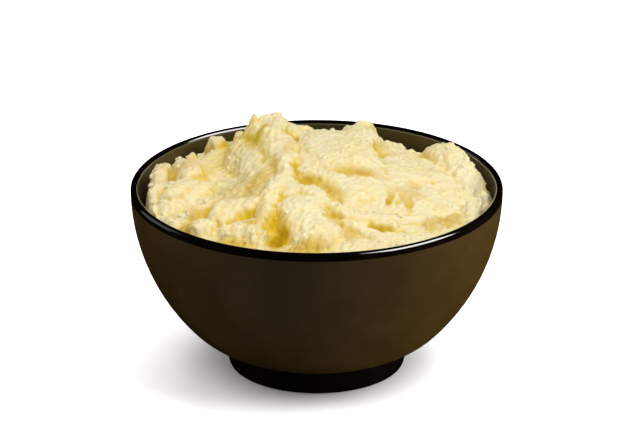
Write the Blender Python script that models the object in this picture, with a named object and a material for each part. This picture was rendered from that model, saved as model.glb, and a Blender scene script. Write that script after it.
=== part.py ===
"""A serving of mashed potato heaped in its own footed stoneware bowl.

Two pieces: the turned bowl, and the mash as one solid that fills it and rises above
the rim in an uneven heap. Metres, +Z up. The origin is the centre of the foot, on the
plane that the bowl stands on; -Y is the side that faces the diner.
"""

import math

import bmesh
import bpy
from mathutils import Vector

MM = 0.001

# ---- Driving dimensions: the bowl --------------------------------------------------
RIM_RADIUS = 70.0 * MM
BOWL_HEIGHT = 71.6 * MM
LIP_RADIUS = 1.4 * MM  # the rim is fully rounded, so the wall is twice this thick there
WALL_ARC_RADIUS = 76.9 * MM  # the long, nearly upright curve of the wall
SHOULDER_ARC_RADIUS = 32.0 * MM  # the tighter curve that turns the wall in to the foot
ARC_JOIN_ANGLE = math.radians(43.5)  # where the two curves meet, measured below the level
WALL_BASE_THICKNESS = 4.6 * MM
FOOT_HEIGHT = 10.4 * MM
FOOT_TOP_RADIUS = 35.8 * MM
FOOT_BASE_RADIUS = 33.2 * MM
FOOT_RING_WIDTH = 5.0 * MM
FOOT_EDGE = 0.8 * MM  # softened edges of the foot ring
RECESS_DEPTH = 3.0 * MM

# ---- Driving dimensions: the mash --------------------------------------------------
WALL_GAP = 0.3 * MM  # clearance between the two solids where they touch
CONTACT_FRONT = 68.5 * MM  # height at which the mash meets the wall, by side
CONTACT_SIDE = 63.8 * MM
CONTACT_BACK = 60.0 * MM
LEFT_GAP_DEPTH = 4.0 * MM  # how much lower the mash meets the wall at the far left
MOUND_EDGE = 69.0 * MM  # height of the plain mound at its edge
MOUND_RISE = 13.0 * MM
MOUND_RADIUS = 64.0 * MM
MOUND_SHIFT = 6.0 * MM  # the mound's top lies this far behind the bowl's axis
BACK_SLUMP = 5.0 * MM
EDGE_SHOULDER = 3.4 * MM  # width of the steep edge between the heap and the wall
EDGE_BACK_EXTRA = 3.0 * MM
CREASE_SOFTNESS = 1.8 * MM

# ---- Mesh fineness -----------------------------------------------------------------
BOWL_SEGMENTS = 64
INSIDE_STEPS = 14
LIP_STEPS = 6
OUTSIDE_STEPS = 10
HEAP_SEGMENTS = 90
HEAP_RINGS = 22
WALL_RINGS = 6

# Flat-topped pieces laid on the mound, in millimetres: name, lift above the mound, slope
# along x and y, width of the rounded rim, outline
PLATES = (
    ("right_plateau", 0.2, 0, 0, 3, (
        (14, -37), (26, -36), (38, -33), (50, -27), (59, -17), (62, -5), (61, 8),
        (56, 17), (48, 18), (40, 12), (30, 15), (24, 10), (20, -10))),
    ("ridge_skirt", 1, 0, 0, 5.2, (
        (-21, 26), (-20, 18), (-18.5, 8), (-17.5, -2), (-18, -11), (-20, -18),
        (-22, -24), (-16, -26), (-12, -10), (-12, 26))),
    ("peak_skirt", 3, 0, 0, 6, (
        (-24, 31), (-26, 26), (-24.5, 17), (-21, 8), (-14, 6), (-12, 30))),
    ("main_ridge", 4, 0, 0.03, 3, (
        (-19, 28), (-18, 18), (-17, 8), (-16.5, -1), (-15.5, -8), (-15.5, -15),
        (-18, -22), (-20.5, -31), (-22, -38), (-22, -43), (-19.5, -45), (-17.5, -43),
        (-16, -38), (-13, -31), (-9.5, -20), (-8.5, -8), (-8.5, 10), (-9, 28))),
    ("crevice_fill", 1.8, 0, 0, 3, (
        (1, -18), (6, -21), (10, -28), (15, -33), (11, -35), (6, -31), (2, -26),
        (-1, -21))),
    ("tongue_root", 2.6, 0, 0, 3, (
        (-11, -16), (-7, -20), (-4, -25), (-6, -30), (-12, -30), (-13, -22))),
    ("slab", 2.2, 0, 0, 3, (
        (-10, 28), (-9, 8), (-8, -6), (-6.5, -13.5), (-2.5, -17), (1, -19.5),
        (4.5, -22.5), (7, -26), (10, -29.5), (13, -31.5), (18, -30), (23, -25),
        (25, -10), (23, 8), (19, 24), (12, 32), (0, 33))),
    ("slab_top", 3.3, 0, 0, 3, (
        (-3, 26), (-6, 12), (-4, 0), (2, -5), (8, -8.5), (13, -10), (19, -10.5),
        (21.5, -6), (21.5, 6), (20, 16), (12, 23))),
    ("slab_back", 3.6, 0, 0, 3, (
        (11, 16), (20.5, 10), (21.5, 28), (21, 40), (14, 41), (11, 30))),
    ("front_fill", 2, 0, 0, 3, (
        (3, -44), (12, -42), (22, -42), (34, -42), (44, -38), (45, -42), (36, -47),
        (28, -50), (20, -52), (10, -55), (3, -57))),
    ("right_shoulder", 1.6, 0, 0, 4, (
        (40, 3), (46, 10), (54, 10), (60, -2), (59, -13), (52, -17), (44, -9))),
    ("tongue", 2.8, -0.03, 0, 3, (
        (-5, -24.5), (-2.5, -25), (0.5, -26), (3, -29), (5.5, -33), (9, -36),
        (18, -38.5), (26, -39.5), (34, -39), (34, -42), (26, -43.5), (16, -43.5),
        (10, -43), (4, -40), (0, -35), (-4, -31), (-6, -27))),
    ("fold", 2, 0, 0, 3, (
        (24, -38), (32, -37), (40, -34.5), (46, -32), (48, -35), (42, -39), (34, -42),
        (26, -43.5), (20, -42.5))),
    ("front_dollop", 3.6, 0, -0.02, 3, (
        (-14, -34), (-7, -30), (0, -31), (3.5, -36), (4.5, -44), (5.5, -52), (4, -60),
        (-3, -63), (-5.5, -62), (-6.5, -56), (-9, -48), (-12.5, -42))),
    ("low_slab", 2.8, 0, 0, 3, (
        (5, -58), (12, -54.5), (20, -50.5), (28, -48.5), (34, -47), (40, -47),
        (44, -50), (36, -58), (26, -63), (14, -67), (4, -68))),
    ("right_mound", 6.7, 0, 0.08, 4, (
        (45, 19.5), (46.8, 25.5), (51, 28), (56, 22), (60, 14), (61.5, 6), (59, -4),
        (56, -10), (54, -8), (51, 2), (48, 10), (46, 17))),
    ("back_middle", 0, 0, 0, 3, (
        (-4, 33), (-4, 38), (2, 40), (12, 41), (15, 37), (11, 32), (2, 31))),
    ("peak_foot", 2.4, 0, 0, 3, (
        (-31, 30), (-28, 34), (-22, 34), (-22, 24), (-27, 23), (-30.5, 26))),
    ("peak_slope", 5.4, 0, 0.22, 3, (
        (-22, 16), (-20, 8), (-18, 0), (-16, -7), (-10.5, -7), (-9.5, 4), (-9.5, 14),
        (-12, 21), (-20, 22))),
    ("peak_side", 5.2, 0, 0, 3, (
        (-14, 34), (-6, 34), (-5, 27), (-8, 19), (-12, 13), (-18, 16), (-16, 26))),
    ("peak", 8, 0, 0, 3, (
        (-27.5, 26.5), (-27.5, 33), (-16, 35), (-11, 34), (-9.5, 27), (-10.5, 18),
        (-13, 11), (-18.5, 11), (-21.5, 15), (-23.5, 21))),
    ("left_outer", 4, -0.2, 0, 3, (
        (-64, 8), (-62, 15), (-58, 17), (-56.5, 14), (-57.5, 8), (-61, 4))),
    ("left_ridge", 2, 0, 0, 3, (
        (-54, 18), (-51, 20), (-47.5, 16), (-45, 9), (-44.5, 3), (-47, 0), (-52, 5),
        (-54.5, 12))),
    ("left_lobe", 1.4, -0.12, 0, 3, (
        (-62, -2), (-59, 1), (-52, 0), (-45, -3), (-41.5, -6), (-41.5, -10),
        (-45, -14), (-47, -19), (-53, -21), (-58, -25), (-61, -23), (-64, -14))),
    ("left_low", 2.8, 0, 0, 3, (
        (-56, -31), (-52, -30), (-46, -27), (-40, -25), (-39, -27), (-42, -31),
        (-48, -35), (-53, -38), (-57, -36))),
    ("ledge", 1.6, 0, 0, 3, (
        (-41, -27), (-36, -26), (-30, -27), (-24, -28), (-19, -29), (-19, -36),
        (-24, -35.5), (-29, -35), (-32, -38), (-34, -41), (-37, -40), (-38.5, -35))),
    ("front_left_bank", 1.4, 0, 0, 3, (
        (-40, -44), (-32, -42), (-29, -41), (-24, -41), (-20, -42), (-20, -46),
        (-20.5, -54), (-20, -62), (-26, -61), (-36, -56), (-40, -50))),
)
BASE_DROP = 1.6  # how far the mound lies back between the pieces laid on it

# Rounder dollops, in millimetres and degrees:
# name, x, y, half length, half width, turn, lift above the mound, flatness of the top
DOLLOPS = (
    ("peak_spike", -24.4, 30, 3, 3.8, 0, 10.4, 1.1),
    ("peak_middle", -20.5, 30, 5, 3.8, 0, 9.4, 1.3),
    ("peak_top", -16.5, 30, 5, 4.4, 0, 9.4, 1.3),
    ("peak_foot_lump", -29.8, 31, 2.6, 3.8, 30, 3.4, 1.3),
    ("back_left_ball", -38.2, 35, 3.2, 4.2, 0, 2.6, 1.3),
    ("left_bulge", -60.5, -9, 7, 4.5, 80, 4.6, 1.3),
    ("left_bulge_two", -52, -14, 6, 5, 30, 4, 1.3),
    ("front_left_ball", -41.7, -43, 6, 5, 15, 4.8, 1.3),
    ("dollop_foot", 6, -50, 6, 5, 20, 2.4, 1.3),
    ("dollop_foot_two", 1, -59, 7, 6, 0, 4.4, 1.3),
    ("back_ridge", -5, 34, 4.2, 4, 0, 3, 1.3),
    ("back_peak", 18.9, 39, 3.8, 4, 0, 5, 1.3),
    ("back_peak_left", 14, 37, 5, 5, 0, 2.6, 1.3),
    ("right_lump_one", 43, -41, 5, 3.8, 35, 3.4, 1.3),
    ("right_lump_two", 51, -33, 6, 4, 45, 3.4, 1.3),
    ("right_lump_three", 58, -22, 7, 4.4, 60, 3.6, 1.3),
    ("front_ribs", -28, -49, 9, 7, -20, 3.2, 1.3),
)

# Scoops that the spoon took: name, x, y, half length, half width, turn, height of the
# floor, rise of the sides one half width out, climb of the floor to the back per millimetre
SCOOPS = (
    ("left_flank", -38, 8, 46, 18, 84, 71.8, 9.5, 0.05),
    ("back_saddle", 38, 46, 13, 23, 0, 66.2, 8, 0),
    ("left_back", -49, 35, 17, 8, 54, 64, 6, 0),
    ("left_gap", -68, -8, 14, 4.5, 96, 63, 8, 0),
)

# Small hollows pressed in: name, x, y, half length, half width, turn, depth
PITS = (
    ("cross_crease", 14.5, -13.5, 6.5, 3, -6, 2.6),
    ("thumb_mark", 36, -14, 3.6, 3, 80, 1.8),
    ("left_pit", -55, 9, 4.5, 3, 60, 3.6),
    ("left_notch", -62, 4, 3, 3, 0, 2.6),
    ("front_pit_two", -26, -38.5, 2.8, 3, 0, 1.6),
)

# Furrows drawn with the spoon: name, course, half width, depth
FURROWS = (
    ("crevice", (
        (-9, -12), (-5, -15.5), (-1, -18.5), (1.8, -22.5), (4.5, -28), (8, -33)), 2.8, 0.5),
    ("deep_valley", ((-15.5, -45), (-14.5, -49), (-13.5, -55), (-12, -60)), 3.2, 6.5),
    ("low_valley", ((9, -46.5), (12, -49), (15, -51.5), (18, -54)), 2.8, 2),
    ("left_valley", ((-40.5, -28), (-43, -31.5), (-47, -34.5), (-53, -39)), 2.8, 3.4),
)


def clear_scene():
    for leftover in list(bpy.data.objects):
        bpy.data.objects.remove(leftover, do_unlink=True)


def make_material(name, colour, roughness):
    material = bpy.data.materials.new(name)
    material.use_nodes = True
    shader = material.node_tree.nodes["Principled BSDF"]
    shader.inputs["Base Color"].default_value = (*colour, 1.0)
    shader.inputs["Roughness"].default_value = roughness
    shader.inputs["Metallic"].default_value = 0.0
    return material


def add_object(name, mesh_builder, material, crease_angle):
    mesh = bpy.data.meshes.new(name)
    mesh_builder.to_mesh(mesh)
    mesh_builder.free()
    mesh.shade_smooth()
    mesh.set_sharp_from_angle(angle=crease_angle)
    mesh.materials.append(material)
    obj = bpy.data.objects.new(name, mesh)
    bpy.context.scene.collection.objects.link(obj)
    return obj


# ---- The bowl's outline ------------------------------------------------------------
LIP_CENTRE = Vector((RIM_RADIUS - LIP_RADIUS, BOWL_HEIGHT - LIP_RADIUS))
WALL_CENTRE = Vector((RIM_RADIUS - WALL_ARC_RADIUS, BOWL_HEIGHT - LIP_RADIUS / 2))
SHOULDER_CENTRE = WALL_CENTRE + (WALL_ARC_RADIUS - SHOULDER_ARC_RADIUS) * Vector(
    (math.cos(ARC_JOIN_ANGLE), -math.sin(ARC_JOIN_ANGLE))
)
WALL_TOP_ANGLE = math.asin((WALL_CENTRE.y - LIP_CENTRE.y) / WALL_ARC_RADIUS)
FOOT_ANGLE = math.asin((SHOULDER_CENTRE.y - FOOT_HEIGHT) / SHOULDER_ARC_RADIUS)


def wall_point(angle, inset):
    """A point of the wall's section, at an angle below the level, set in from the outside."""
    on_wall = angle < ARC_JOIN_ANGLE
    centre = WALL_CENTRE if on_wall else SHOULDER_CENTRE
    radius = (WALL_ARC_RADIUS if on_wall else SHOULDER_ARC_RADIUS) - inset
    return centre + radius * Vector((math.cos(angle), -math.sin(angle)))


def wall_thickness(angle):
    share = (angle - WALL_TOP_ANGLE) / (math.pi / 2 - WALL_TOP_ANGLE)
    return 2 * LIP_RADIUS + (WALL_BASE_THICKNESS - 2 * LIP_RADIUS) * share


def steps(first, last, count):
    return [first + (last - first) * i / count for i in range(count + 1)]


def inner_outline(clearance, count):
    """The inside of the bowl from the lip down to the flat of its floor."""
    return [
        wall_point(angle, wall_thickness(angle) + clearance)
        for angle in steps(WALL_TOP_ANGLE, math.pi / 2, count)
    ]


def bowl_outline():
    """Radius and height of the bowl's section, from its floor over the lip to the recess."""
    inside = inner_outline(0.0, INSIDE_STEPS)
    lip = [
        LIP_CENTRE + LIP_RADIUS * Vector((math.cos(angle), math.sin(angle)))
        for angle in steps(math.pi, 0.0, LIP_STEPS)[1:-1]
    ]
    outside = [wall_point(angle, 0.0) for angle in steps(WALL_TOP_ANGLE, FOOT_ANGLE, OUTSIDE_STEPS)]
    ring_inner = FOOT_BASE_RADIUS - FOOT_RING_WIDTH
    foot = [
        Vector((FOOT_TOP_RADIUS, FOOT_HEIGHT)),
        Vector((FOOT_BASE_RADIUS, FOOT_EDGE)),
        Vector((FOOT_BASE_RADIUS - FOOT_EDGE, 0.0)),
        Vector((ring_inner + FOOT_EDGE, 0.0)),
        Vector((ring_inner, FOOT_EDGE)),
        Vector((ring_inner - FOOT_EDGE, RECESS_DEPTH)),
    ]
    return list(reversed(inside)) + lip + outside + foot


def turn(builder, outline, segments):
    """Turns an open outline about Z and closes it at both ends on the axis."""
    rings = []
    for point in outline:
        rings.append(
            [
                builder.verts.new(
                    (
                        point.x * math.cos(math.tau * i / segments),
                        point.x * math.sin(math.tau * i / segments),
                        point.y,
                    )
                )
                for i in range(segments)
            ]
        )
    join_rings(builder, rings)
    cap_ring(builder, rings[0], outline[0].y)
    cap_ring(builder, rings[-1], outline[-1].y)


def join_rings(builder, rings):
    for upper, lower in zip(rings[:-1], rings[1:]):
        for i in range(len(upper)):
            j = (i + 1) % len(upper)
            builder.faces.new((upper[i], upper[j], lower[j], lower[i]))


def cap_ring(builder, ring, height):
    centre = builder.verts.new((0.0, 0.0, height))
    for i in range(len(ring)):
        builder.faces.new((ring[i], ring[(i + 1) % len(ring)], centre))


def build_bowl(material):
    builder = bmesh.new()
    turn(builder, bowl_outline(), BOWL_SEGMENTS)
    bmesh.ops.recalc_face_normals(builder, faces=builder.faces)
    return add_object("bowl", builder, material, math.radians(35))


# ---- The mash ----------------------------------------------------------------------
def smooth_step(low, high, value):
    share = min(max((value - low) / (high - low), 0.0), 1.0)
    return share * share * (3.0 - 2.0 * share)


def smooth_max(a, b, softness):
    share = min(max(0.5 + 0.5 * (a - b) / softness, 0.0), 1.0)
    return b + (a - b) * share + softness * share * (1.0 - share)


def mound_height(x, y):
    """The plain mound under all the dollops, slumping towards the back of the bowl."""
    reach = math.hypot(x, y - MOUND_SHIFT) / MOUND_RADIUS
    slump = min(max((y - MOUND_RADIUS / 2) / (MOUND_RADIUS / 2), 0.0), 1.0)
    return MOUND_EDGE + MOUND_RISE * max(1.0 - reach * reach, -0.3) - BACK_SLUMP * slump**2


def oval_reach(x, y, centre_x, centre_y, length, width, turned):
    """Squared distance from an oval's centre, 1 on its outline."""
    angle = math.radians(turned)
    dx = x / MM - centre_x
    dy = y / MM - centre_y
    along = (dx * math.cos(angle) + dy * math.sin(angle)) / length
    across = (dy * math.cos(angle) - dx * math.sin(angle)) / width
    return along * along + across * across


def course_distance(x, y, course):
    """Distance in millimetres from a point to a stroke's course."""
    point = Vector((x / MM, y / MM))
    nearest = math.inf
    for start, end in zip(course[:-1], course[1:]):
        start = Vector(start)
        leg = Vector(end) - start
        share = min(max((point - start).dot(leg) / leg.length_squared, 0.0), 1.0)
        nearest = min(nearest, (point - start - share * leg).length)
    return nearest


def inside_distance(x, y, outline):
    """Distance in millimetres from a point to a closed outline, above zero inside it."""
    closed = outline + outline[:1]
    px, py = x / MM, y / MM
    inside = False
    for (x0, y0), (x1, y1) in zip(closed[:-1], closed[1:]):
        if (y0 > py) != (y1 > py) and px < x0 + (py - y0) * (x1 - x0) / (y1 - y0):
            inside = not inside
    distance = course_distance(x, y, closed)
    return distance if inside else -distance


def plate_top(x, y, lift, slope_x, slope_y, rim, outline):
    """Height of one plate above the mound, rounded off at its rim."""
    middle_x = sum(corner[0] for corner in outline) / len(outline)
    middle_y = sum(corner[1] for corner in outline) / len(outline)
    inside = max(inside_distance(x, y, outline) / rim, -3.0)
    top = lift + slope_x * (x / MM - middle_x) + slope_y * (y / MM - middle_y)
    return top - (lift + BASE_DROP) * math.exp(-1.0 - inside)


def heap_height(x, y):
    """Height of the heap's surface: mound, scoops, then plates, dollops, furrows and pits."""
    mound = mound_height(x, y)
    height = mound - BASE_DROP * MM
    for _, cx, cy, length, width, turned, floor, rise, climb in SCOOPS:
        reach = oval_reach(x, y, cx, cy, length, width, turned)
        scooped = (floor + rise * reach + climb * (y / MM - cy)) * MM
        height = -smooth_max(-height, -scooped, CREASE_SOFTNESS)
    for _, lift, slope_x, slope_y, rim, outline in PLATES:
        top = mound + plate_top(x, y, lift, slope_x, slope_y, rim, outline) * MM
        height = smooth_max(height, top, CREASE_SOFTNESS)
    for _, cx, cy, length, width, turned, lift, flatness in DOLLOPS:
        reach = oval_reach(x, y, cx, cy, length, width, turned) ** flatness
        top = mound + (lift - (lift + BASE_DROP) * reach) * MM
        height = smooth_max(height, top, CREASE_SOFTNESS)
    for _, course, half_width, depth in FURROWS:
        reach = course_distance(x, y, course) / half_width
        height -= depth * MM * math.exp(-reach * reach)
    for _, cx, cy, length, width, turned, depth in PITS:
        height -= depth * MM * math.exp(-oval_reach(x, y, cx, cy, length, width, turned))
    return height


def contact_height(angle):
    """Height at which the mash meets the wall: high in front, low behind."""
    towards_back = math.sin(angle)
    towards_left = math.exp(-(((angle - math.pi) / 0.3) ** 2))
    if towards_back < 0:
        share = smooth_step(0.0, 0.5, -towards_back)
        contact = CONTACT_SIDE + (CONTACT_FRONT - CONTACT_SIDE) * share
    else:
        share = smooth_step(0.0, 0.9, towards_back)
        contact = CONTACT_SIDE + (CONTACT_BACK - CONTACT_SIDE) * share
    return contact - LEFT_GAP_DEPTH * towards_left


def outline_radius(outline, height):
    """Radius of an outline that runs downwards, at a height."""
    for upper, lower in zip(outline[:-1], outline[1:]):
        if lower.y <= height <= upper.y:
            share = (upper.y - height) / max(upper.y - lower.y, 1e-9)
            return upper.x + (lower.x - upper.x) * share
    return outline[-1].x


def build_mash(material):
    """One closed solid: rings over the heap from its middle out, then down the wall to the floor."""
    wall = inner_outline(WALL_GAP, 60)
    floor = wall[-1].y
    builder = bmesh.new()
    angles = [math.tau * i / HEAP_SEGMENTS for i in range(HEAP_SEGMENTS)]
    rings = []
    for step in range(1, HEAP_RINGS + 1):
        ring = []
        for angle in angles:
            contact = contact_height(angle)
            edge = outline_radius(wall, contact)
            radius = edge * step / HEAP_RINGS
            x = radius * math.cos(angle)
            y = radius * math.sin(angle)
            shoulder = EDGE_SHOULDER + EDGE_BACK_EXTRA * smooth_step(0.0, 0.6, math.sin(angle))
            share = smooth_step(edge - shoulder, edge, radius)
            height = heap_height(x, y) * (1.0 - share) + contact * share
            ring.append(builder.verts.new((x, y, height)))
        rings.append(ring)
    for step in range(1, WALL_RINGS + 1):
        ring = []
        for angle in angles:
            contact = contact_height(angle)
            drop = math.sin(0.5 * math.pi * step / WALL_RINGS)
            height = contact + (floor - contact) * drop
            radius = outline_radius(wall, height)
            ring.append(builder.verts.new((radius * math.cos(angle), radius * math.sin(angle), height)))
        rings.append(ring)
    join_rings(builder, rings)
    cap_ring(builder, rings[0], heap_height(0.0, 0.0))
    cap_ring(builder, rings[-1], floor)
    bmesh.ops.triangulate(builder, faces=builder.faces, quad_method="SHORT_EDGE")
    bmesh.ops.recalc_face_normals(builder, faces=builder.faces)
    return add_object("mashed_potato", builder, material, math.radians(60))


def main():
    clear_scene()
    glaze = make_material("dark_glaze", (0.022, 0.015, 0.008), 0.38)
    mash = make_material("mash", (0.84, 0.74, 0.42), 0.55)
    build_bowl(glaze)
    build_mash(mash)


main()
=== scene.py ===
# %% [markdown]
# # Mashed potato in its bowl
# A serving of mashed potato, spooned roughly into a small footed stoneware bowl and left as
# it fell. This lesson dresses two plain solids, the bowl and the mash, as the real things:
# a turned bowl with a satin brown glaze and a glossy black lip, and a heap of moist, grainy
# mash with soft lumps, spoon marks and golden creases.

import math

import bmesh
import bpy
import numpy as np
from mathutils import Euler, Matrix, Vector, noise


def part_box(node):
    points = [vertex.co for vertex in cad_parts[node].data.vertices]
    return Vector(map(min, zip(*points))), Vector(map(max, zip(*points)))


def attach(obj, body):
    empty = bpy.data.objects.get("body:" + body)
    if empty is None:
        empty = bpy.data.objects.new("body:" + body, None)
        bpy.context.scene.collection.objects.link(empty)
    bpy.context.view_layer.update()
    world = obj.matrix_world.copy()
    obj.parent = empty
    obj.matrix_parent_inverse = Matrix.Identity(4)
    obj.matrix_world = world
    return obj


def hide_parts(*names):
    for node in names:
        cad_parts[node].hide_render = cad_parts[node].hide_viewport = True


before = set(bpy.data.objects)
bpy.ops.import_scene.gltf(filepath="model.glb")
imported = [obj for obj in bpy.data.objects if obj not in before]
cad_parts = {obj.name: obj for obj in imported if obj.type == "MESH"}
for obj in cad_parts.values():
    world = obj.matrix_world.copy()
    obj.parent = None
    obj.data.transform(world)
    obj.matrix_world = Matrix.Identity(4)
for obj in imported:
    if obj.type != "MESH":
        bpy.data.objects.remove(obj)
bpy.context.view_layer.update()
MM = 0.001
_, bowl_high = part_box("bowl")
_, mash_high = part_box("mashed_potato")
RIM_RADIUS = bowl_high.x / MM
BOWL_HEIGHT = bowl_high.z / MM
print("bowl", round(2 * RIM_RADIUS, 1), "mm across and", round(BOWL_HEIGHT, 1), "mm high")
print("heap stands", round(mash_high.z / MM - BOWL_HEIGHT, 1), "mm above the rim")

# %% [markdown]
# ## Helpers
# Everything is worked out in millimetres, which suit food better than metres, and turned
# into metres only when a mesh is made. NumPy works on all points of a surface at once, so
# even a heap of many thousand points takes only a moment.


# %% Small helpers
def smooth_step(low, high, value):
    """0 below low, 1 above high, and a soft S between them."""
    share = np.clip((value - low) / (high - low), 0.0, 1.0)
    return share * share * (3.0 - 2.0 * share)


def smooth_max(a, b, softness):
    """The higher of two surfaces, with a soft crease where they meet."""
    share = np.clip(0.5 + 0.5 * (a - b) / softness, 0.0, 1.0)
    return b + (a - b) * share + softness * share * (1.0 - share)


def make_piece(name, points, faces, material):
    """A smooth-shaded mesh from points in millimetres and a list of faces."""
    mesh = bpy.data.meshes.new(name)
    mesh.from_pydata((np.asarray(points) * MM).tolist(), [], faces)
    mesh.shade_smooth()
    mesh.materials.append(material)
    piece = bpy.data.objects.new(name, mesh)
    bpy.context.scene.collection.objects.link(piece)
    triangles = sum(len(face.vertices) - 2 for face in mesh.polygons)
    print(name, "has", triangles, "triangles")
    return piece


def note_values(piece, name, values):
    """Stores one number for each point of a mesh, for a material to read."""
    attribute = piece.data.attributes.new(name, "FLOAT", "POINT")
    attribute.data.foreach_set("value", values.astype(np.float32))


def noise_at(points, size, seed, octaves=1, roughness=0.5):
    """Soft noise between about -1 and 1 for every point; size is its grain in millimetres."""
    shift = Vector((seed * 17.3, seed * -9.1, seed * 5.7))  # another place for each seed
    values = np.empty(len(points))
    if octaves == 1:
        for i, point in enumerate(points.tolist()):
            values[i] = noise.noise(Vector(point) / size + shift)
        return values * 1.6  # Blender's noise keeps well within -1 and 1
    for i, point in enumerate(points.tolist()):
        values[i] = noise.fractal(Vector(point) / size + shift, 2.0 * roughness, 2.1, octaves)
    return values * 1.3


# %% [markdown]
# ## The bowl
# A potter's wheel gives the real bowl one section all round, so a turned mesh is the right
# way: draw half the section once, then turn it about the axis. The wall is two arcs that
# run smoothly into each other, a long upright one and a tighter shoulder above the foot.
# The section here has many more points than the solid that it stands for, so no facets show.

# %% The bowl's measures, in millimetres
LIP_RADIUS = 1.4
WALL_ARC_RADIUS = 76.9
SHOULDER_ARC_RADIUS = 32.0
ARC_JOIN_ANGLE = math.radians(43.5)
WALL_BASE_THICKNESS = 4.6
FOOT_HEIGHT = 10.4
FOOT_TOP_RADIUS = 35.8
FOOT_BASE_RADIUS = 33.2
FOOT_RING_WIDTH = 5.0
FOOT_EDGE = 0.8
RECESS_DEPTH = 3.0
SHARP_BEND = 0.12  # corners are cut off by this much, and still look sharp
BOWL_SEGMENTS = 192
LIP_POINTS, OUTER_POINTS, INNER_POINTS = 17, 60, 70  # along each part of the section

LIP_CENTRE = Vector((RIM_RADIUS - LIP_RADIUS, BOWL_HEIGHT - LIP_RADIUS))
WALL_CENTRE = Vector((RIM_RADIUS - WALL_ARC_RADIUS, BOWL_HEIGHT - LIP_RADIUS / 2))
SHOULDER_CENTRE = WALL_CENTRE + (WALL_ARC_RADIUS - SHOULDER_ARC_RADIUS) * Vector(
    (math.cos(ARC_JOIN_ANGLE), -math.sin(ARC_JOIN_ANGLE))
)
WALL_TOP_ANGLE = math.asin((WALL_CENTRE.y - LIP_CENTRE.y) / WALL_ARC_RADIUS)
FOOT_ANGLE = math.asin((SHOULDER_CENTRE.y - FOOT_HEIGHT) / SHOULDER_ARC_RADIUS)
print("the wall is", WALL_BASE_THICKNESS, "mm thick at its base and", 2 * LIP_RADIUS, "at the lip")

# %% [markdown]
# ## Half a section
# The outside follows the two arcs, and the inside follows them at the thickness of the wall.
# A half circle joins them at the lip, because a thrown rim is rounded by a wet finger. The
# foot is drawn corner by corner. A curve object could hold all this too, but points in a
# list are easier to measure and to count.


# %% Draw the section
def wall_point(angle, inset):
    """A point of the section, at an angle below the level, set in from the outside."""
    upright = angle < ARC_JOIN_ANGLE
    centre = WALL_CENTRE if upright else SHOULDER_CENTRE
    radius = (WALL_ARC_RADIUS if upright else SHOULDER_ARC_RADIUS) - inset
    return centre + radius * Vector((math.cos(angle), -math.sin(angle)))


def inner_outline(clearance, count):
    """The inside of the bowl, from the lip down to the flat of its floor."""
    outline = []
    for angle in np.linspace(WALL_TOP_ANGLE, math.pi / 2, count).tolist():
        share = (angle - WALL_TOP_ANGLE) / (math.pi / 2 - WALL_TOP_ANGLE)
        thickness = 2 * LIP_RADIUS + (WALL_BASE_THICKNESS - 2 * LIP_RADIUS) * share
        outline.append(wall_point(angle, thickness + clearance))
    return outline


def bowl_section():
    """From the flat of the floor up the inside, over the lip and down round the foot."""
    lip = [
        LIP_CENTRE + LIP_RADIUS * Vector((math.cos(angle), math.sin(angle)))
        for angle in np.linspace(math.pi, 0.0, LIP_POINTS).tolist()[1:-1]
    ]
    outer_angles = np.linspace(WALL_TOP_ANGLE, FOOT_ANGLE, OUTER_POINTS).tolist()
    outside = [wall_point(angle, 0.0) for angle in outer_angles]
    ring_inner = FOOT_BASE_RADIUS - FOOT_RING_WIDTH
    foot = [
        Vector((FOOT_TOP_RADIUS - SHARP_BEND, FOOT_HEIGHT)),
        Vector((FOOT_TOP_RADIUS, FOOT_HEIGHT - SHARP_BEND)),
        Vector((FOOT_BASE_RADIUS + 0.1, FOOT_EDGE + SHARP_BEND)),
        Vector((FOOT_BASE_RADIUS, FOOT_EDGE)),
        Vector((FOOT_BASE_RADIUS - FOOT_EDGE / 3, FOOT_EDGE / 3)),
        Vector((FOOT_BASE_RADIUS - FOOT_EDGE, 0.0)),
        Vector((ring_inner + FOOT_EDGE, 0.0)),
        Vector((ring_inner, FOOT_EDGE)),
        Vector((ring_inner - SHARP_BEND, RECESS_DEPTH - FOOT_EDGE)),
        Vector((ring_inner - FOOT_EDGE, RECESS_DEPTH)),
    ]
    return inner_outline(0.0, INNER_POINTS)[::-1] + lip + outside + foot


section = bowl_section()
print("the section has", len(section), "points")

# %% [markdown]
# ## Turning it
# Blender has a Spin tool and a Screw modifier for this. Here the rings of points are worked
# out directly, because the same few lines also make the shell of the backdrop, and every
# face is then known by its place. A flat face closes the floor inside, and another closes
# the recess under the foot.


# %% Turn the bowl
def turned_points(section, segments):
    turns = np.linspace(0.0, math.tau, segments, endpoint=False)
    radius = np.array([point.x for point in section])[:, None]
    height = np.array([point.y for point in section])[:, None]
    rings = np.stack(
        [radius * np.cos(turns), radius * np.sin(turns), height + 0.0 * turns], axis=-1
    )
    return rings.reshape(-1, 3)


def ring_faces(rings, segments):
    """Quads between neighbouring rings of points; every ring is closed."""
    faces = []
    for ring in range(rings - 1):
        low = ring * segments
        for i in range(segments):
            j = (i + 1) % segments
            faces.append((low + i, low + j, low + segments + j, low + segments + i))
    return faces


def build_bowl(material):
    points = turned_points(section, BOWL_SEGMENTS)
    last = len(points) - BOWL_SEGMENTS
    faces = [face[::-1] for face in ring_faces(len(section), BOWL_SEGMENTS)]
    faces.append(list(range(BOWL_SEGMENTS)))
    faces.append(list(range(last, last + BOWL_SEGMENTS))[::-1])
    return make_piece("glazed_bowl", points, faces, material)


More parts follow.
